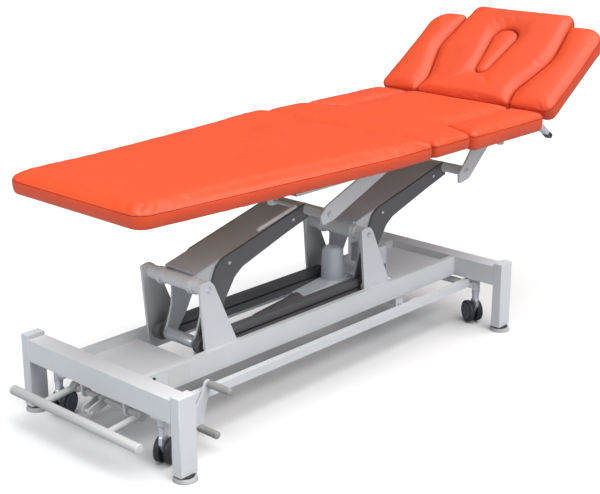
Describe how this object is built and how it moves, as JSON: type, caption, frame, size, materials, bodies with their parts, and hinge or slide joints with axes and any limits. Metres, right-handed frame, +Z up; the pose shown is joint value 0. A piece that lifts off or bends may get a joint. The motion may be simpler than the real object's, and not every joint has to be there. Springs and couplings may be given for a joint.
{
  "type": "examination_couch",
  "caption": "Height-adjustable examination couch with sectioned orange-red upholstery, a raised head section with face opening and a parallelogram lifting frame",
  "frame": {"origin": "on the floor, under the middle of the overall length and width", "axes": "+X from the foot end to the head end, +Y to the patient's right side, +Z up"},
  "size_m": [2.0663, 0.698, 0.9632],
  "materials": {
    "powder_coat": "satin light grey powder coat",
    "dark_coat": "satin dark grey powder coat",
    "grey_coat": "semi-gloss mid grey powder coat",
    "white_coat": "semi-gloss white powder coat",
    "steel": "turned bright steel",
    "actuator_body": "satin blue-grey paint",
    "board": "sealed plywood board",
    "vinyl": "soft orange-red vinyl upholstery",
    "wheel": "dark grey rubber tread",
    "foot_plastic": "light grey moulded plastic"
  },
  "bodies": {
    "base": {"beam_foot": "powder_coat", "beam_head": "powder_coat", "panel_foot": "powder_coat", "panel_head": "powder_coat", "pedestals_left": "powder_coat", "pedestals_right": "powder_coat", "post_caps": "powder_coat", "post_foot_left": "powder_coat", "post_foot_right": "powder_coat", "post_head_left": "powder_coat", "post_head_right": "powder_coat", "rail_left": "powder_coat", "rail_right": "powder_coat", "lower_pivot_shafts": "steel", "control_box": "powder_coat", "actuator_anchor": "powder_coat", "levelling_feet": "foot_plastic", "underframe_hangers": "powder_coat"},
    "foot_arm": {"foot_arm_cross_tube": "steel", "foot_arm_frame": "powder_coat", "foot_arm_side_covers": "dark_coat", "foot_arm_top_cover": "grey_coat"},
    "head_arm": {"head_arm_cross_tube": "steel", "head_arm_frame": "powder_coat", "head_arm_side_covers": "dark_coat", "head_arm_top_cover": "grey_coat"},
    "drag_links": {"drag_links": "dark_coat"},
    "actuator": {"actuator_gearcase": "actuator_body", "actuator_tube": "dark_coat"},
    "actuator_rod": {"actuator_rod": "steel"},
    "top_frame": {"top_rail_left": "powder_coat", "top_rail_right": "powder_coat", "top_cross_members": "powder_coat", "upper_brackets": "powder_coat", "upper_pivot_bolts": "steel", "seat_board": "board", "seat_pad": "vinyl"},
    "leg_section": {"leg_board": "board", "leg_pad": "vinyl"},
    "head_section": {"head_board": "board", "head_pad": "vinyl"},
    "side_left": {"side_pad_left": "vinyl"},
    "side_right": {"side_pad_right": "vinyl"},
    "wing_left": {"wing_pad_left": "vinyl"},
    "wing_right": {"wing_pad_right": "vinyl"},
    "face_plug": {"face_plug": "vinyl"},
    "leg_handle": {"leg_release_handle": "white_coat"},
    "wing_lever": {"wing_lock_lever": "steel"},
    "castor_lever": {"castor_lever": "powder_coat"},
    "castor_rocker": {"castor_rocker": "powder_coat"},
    "castor_frame": {"castor_frame": "powder_coat"},
    "foot_bar": {"foot_bar": "white_coat"},
    "fork_foot_left": {"castor_fork_foot_left": "steel"},
    "wheels_foot_left": {"castor_wheels_foot_left": "wheel"},
    "fork_foot_right": {"castor_fork_foot_right": "steel"},
    "wheels_foot_right": {"castor_wheels_foot_right": "wheel"},
    "fork_head_left": {"castor_fork_head_left": "steel"},
    "wheels_head_left": {"castor_wheels_head_left": "wheel"},
    "fork_head_right": {"castor_fork_head_right": "steel"},
    "wheels_head_right": {"castor_wheels_head_right": "wheel"}
  },
  "joints": [
    {"name": "lift", "type": "hinge", "parent": "base", "child": "foot_arm", "pos_m": [-0.6421, 0, 0.3885], "axis": [0, -1, 0], "range_deg": [-26, 28]},
    {"name": "head_arm_follow", "type": "hinge", "parent": "base", "child": "head_arm", "pos_m": [0.0249, 0, 0.3885], "axis": [0, -1, 0], "range_deg": [-26, 28]},
    {"name": "top_level", "type": "hinge", "parent": "foot_arm", "child": "top_frame", "pos_m": [-0.1996, 0, 0.51], "axis": [0, -1, 0], "range_deg": [-28, 26]},
    {"name": "link_level", "type": "hinge", "parent": "foot_arm", "child": "drag_links", "pos_m": [-0.6376, 0, 0.218], "axis": [0, -1, 0], "range_deg": [-28, 26]},
    {"name": "actuator_level", "type": "hinge", "parent": "head_arm", "child": "actuator", "pos_m": [0.0294, 0, 0.218], "axis": [0, -1, 0], "range_deg": [-28, 26]},
    {"name": "actuator_stroke", "type": "slide", "parent": "actuator", "child": "actuator_rod", "axis": [-0.9941, 0, -0.1086], "range_m": [-0.0745, 0.0801]},
    {"name": "leg_tilt", "type": "hinge", "parent": "top_frame", "child": "leg_section", "pos_m": [0.0459, 0, 0.65], "axis": [0, 1, 0], "range_deg": [0, 12]},
    {"name": "head_tilt", "type": "hinge", "parent": "top_frame", "child": "head_section", "pos_m": [0.6389, 0, 0.65], "axis": [0, -1, 0], "range_deg": [-64, 6]},
    {"name": "side_left_drop", "type": "hinge", "parent": "top_frame", "child": "side_left", "pos_m": [0.4629, -0.206, 0.64], "axis": [1, 0, 0], "range_deg": [0, 75]},
    {"name": "side_right_drop", "type": "hinge", "parent": "top_frame", "child": "side_right", "pos_m": [0.4629, 0.206, 0.64], "axis": [-1, 0, 0], "range_deg": [0, 75]},
    {"name": "wing_left_drop", "type": "hinge", "parent": "head_section", "child": "wing_left", "pos_m": [0.82771, -0.208, 0.76529], "axis": [0.829, 0, 0.5592], "range_deg": [0, 60]},
    {"name": "wing_right_drop", "type": "hinge", "parent": "head_section", "child": "wing_right", "pos_m": [0.82771, 0.208, 0.76529], "axis": [-0.829, 0, -0.5592], "range_deg": [0, 60]},
    {"name": "face_plug_pull", "type": "slide", "parent": "head_section", "child": "face_plug", "axis": [-0.5592, 0, 0.829], "range_m": [0, 0.06]},
    {"name": "leg_handle_turn", "type": "hinge", "parent": "leg_section", "child": "leg_handle", "pos_m": [-0.4171, -0.19, 0.594], "axis": [0, -1, 0], "range_deg": [-25, 0], "stiffness_Nm_per_rad": 4},
    {"name": "wing_lever_pull", "type": "hinge", "parent": "wing_left", "child": "wing_lever", "pos_m": [0.66387, -0.26, 0.64875], "axis": [0, 1, 0], "range_deg": [0, 20], "stiffness_Nm_per_rad": 3},
    {"name": "castor_pedal", "type": "hinge", "parent": "base", "child": "castor_lever", "pos_m": [-0.8157, 0, 0.1301], "axis": [0, 1, 0], "range_deg": [0, 30]},
    {"name": "castor_rocker_follow", "type": "hinge", "parent": "base", "child": "castor_rocker", "pos_m": [0.1679, 0, 0.1301], "axis": [0, 1, 0], "range_deg": [0, 30]},
    {"name": "castor_frame_level", "type": "hinge", "parent": "castor_lever", "child": "castor_frame", "pos_m": [-0.7771, 0, 0.1405], "axis": [0, 1, 0], "range_deg": [-30, 0]},
    {"name": "foot_bar_rock", "type": "hinge", "parent": "base", "child": "foot_bar", "pos_m": [-0.9071, 0, 0.118], "axis": [0, 1, 0], "range_deg": [-4, 4], "stiffness_Nm_per_rad": 200},
    {"name": "swivel_foot_left", "type": "hinge", "parent": "castor_frame", "child": "fork_foot_left", "pos_m": [-0.9031, -0.215, 0.12], "axis": [0, 0, 1], "continuous": true},
    {"name": "roll_foot_left", "type": "hinge", "parent": "fork_foot_left", "child": "wheels_foot_left", "pos_m": [-0.88456, -0.20751, 0.0385], "axis": [-0.3746, 0.9272, 0], "continuous": true},
    {"name": "swivel_foot_right", "type": "hinge", "parent": "castor_frame", "child": "fork_foot_right", "pos_m": [-0.9031, 0.215, 0.12], "axis": [0, 0, 1], "continuous": true},
    {"name": "roll_foot_right", "type": "hinge", "parent": "fork_foot_right", "child": "wheels_foot_right", "pos_m": [-0.88408, 0.22118, 0.0385], "axis": [-0.309, 0.9511, 0], "continuous": true},
    {"name": "swivel_head_left", "type": "hinge", "parent": "castor_frame", "child": "fork_head_left", "pos_m": [0.4689, -0.215, 0.12], "axis": [0, 0, 1], "continuous": true},
    {"name": "roll_head_left", "type": "hinge", "parent": "fork_head_left", "child": "wheels_head_left", "pos_m": [0.47798, -0.19718, 0.0385], "axis": [-0.891, 0.454, 0], "continuous": true},
    {"name": "swivel_head_right", "type": "hinge", "parent": "castor_frame", "child": "fork_head_right", "pos_m": [0.4689, 0.215, 0.12], "axis": [0, 0, 1], "continuous": true},
    {"name": "roll_head_right", "type": "hinge", "parent": "fork_head_right", "child": "wheels_head_right", "pos_m": [0.45063, 0.20686, 0.0385], "axis": [0.4067, -0.9135, 0], "continuous": true}
  ],
  "couplings": [
    {"joint": "head_arm_follow", "follows": "lift", "ratio": 1},
    {"joint": "top_level", "follows": "lift", "ratio": -1},
    {"joint": "link_level", "follows": "lift", "ratio": -1},
    {"joint": "actuator_level", "follows": "lift", "ratio": -1},
    {"joint": "actuator_stroke", "follows": "lift", "m_per_rad": 0.1635},
    {"joint": "castor_rocker_follow", "follows": "castor_pedal", "ratio": 1},
    {"joint": "castor_frame_level", "follows": "castor_pedal", "ratio": -1}
  ]
}
